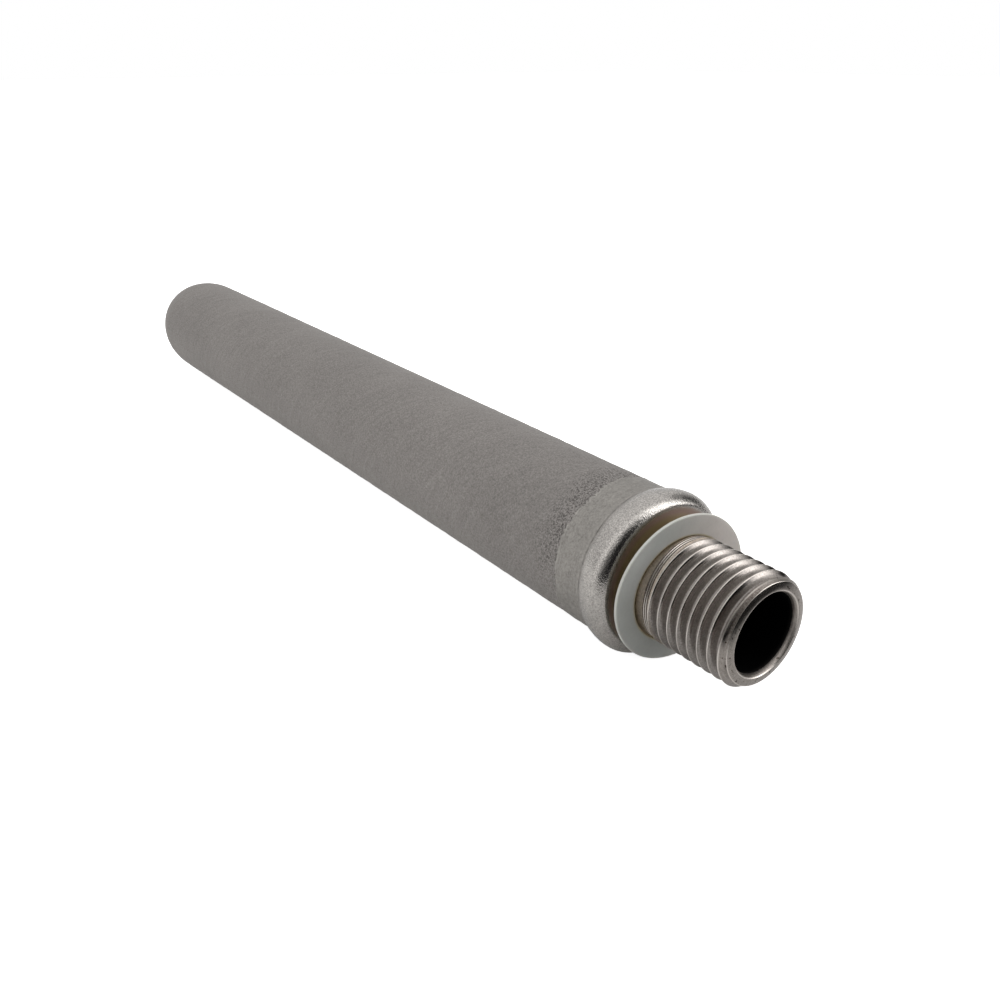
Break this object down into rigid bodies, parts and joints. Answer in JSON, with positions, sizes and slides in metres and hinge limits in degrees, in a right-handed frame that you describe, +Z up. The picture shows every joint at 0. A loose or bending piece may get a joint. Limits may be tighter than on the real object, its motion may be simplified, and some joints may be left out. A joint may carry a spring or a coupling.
{
  "type": "carbonation stone",
  "caption": "Porous stainless gas diffuser: a closed-end sintered tube welded to a hollow threaded fitting with a flat sealing washer, for dissolving gas in a drink tank.",
  "frame": {"origin": "centre of the sealing face on the front of the collar, on the axis of the nipple", "axes": "+X along the nipple's axis from the collar out of the thread, +Z up, as the stone sits in the side wall of a tank"},
  "size_m": [0.1745, 0.0214, 0.0214],
  "materials": {
    "sintered_steel": "matte sintered stainless, fine open grain",
    "turned_steel": "blasted collar and weld band, turned nipple with straw heat tint",
    "washer_silicone": "milky translucent satin"
  },
  "bodies": {
    "root": {"sintered_tube": "sintered_steel", "threaded_fitting": "turned_steel", "sealing_washer": "washer_silicone"}
  },
  "joints": []
}
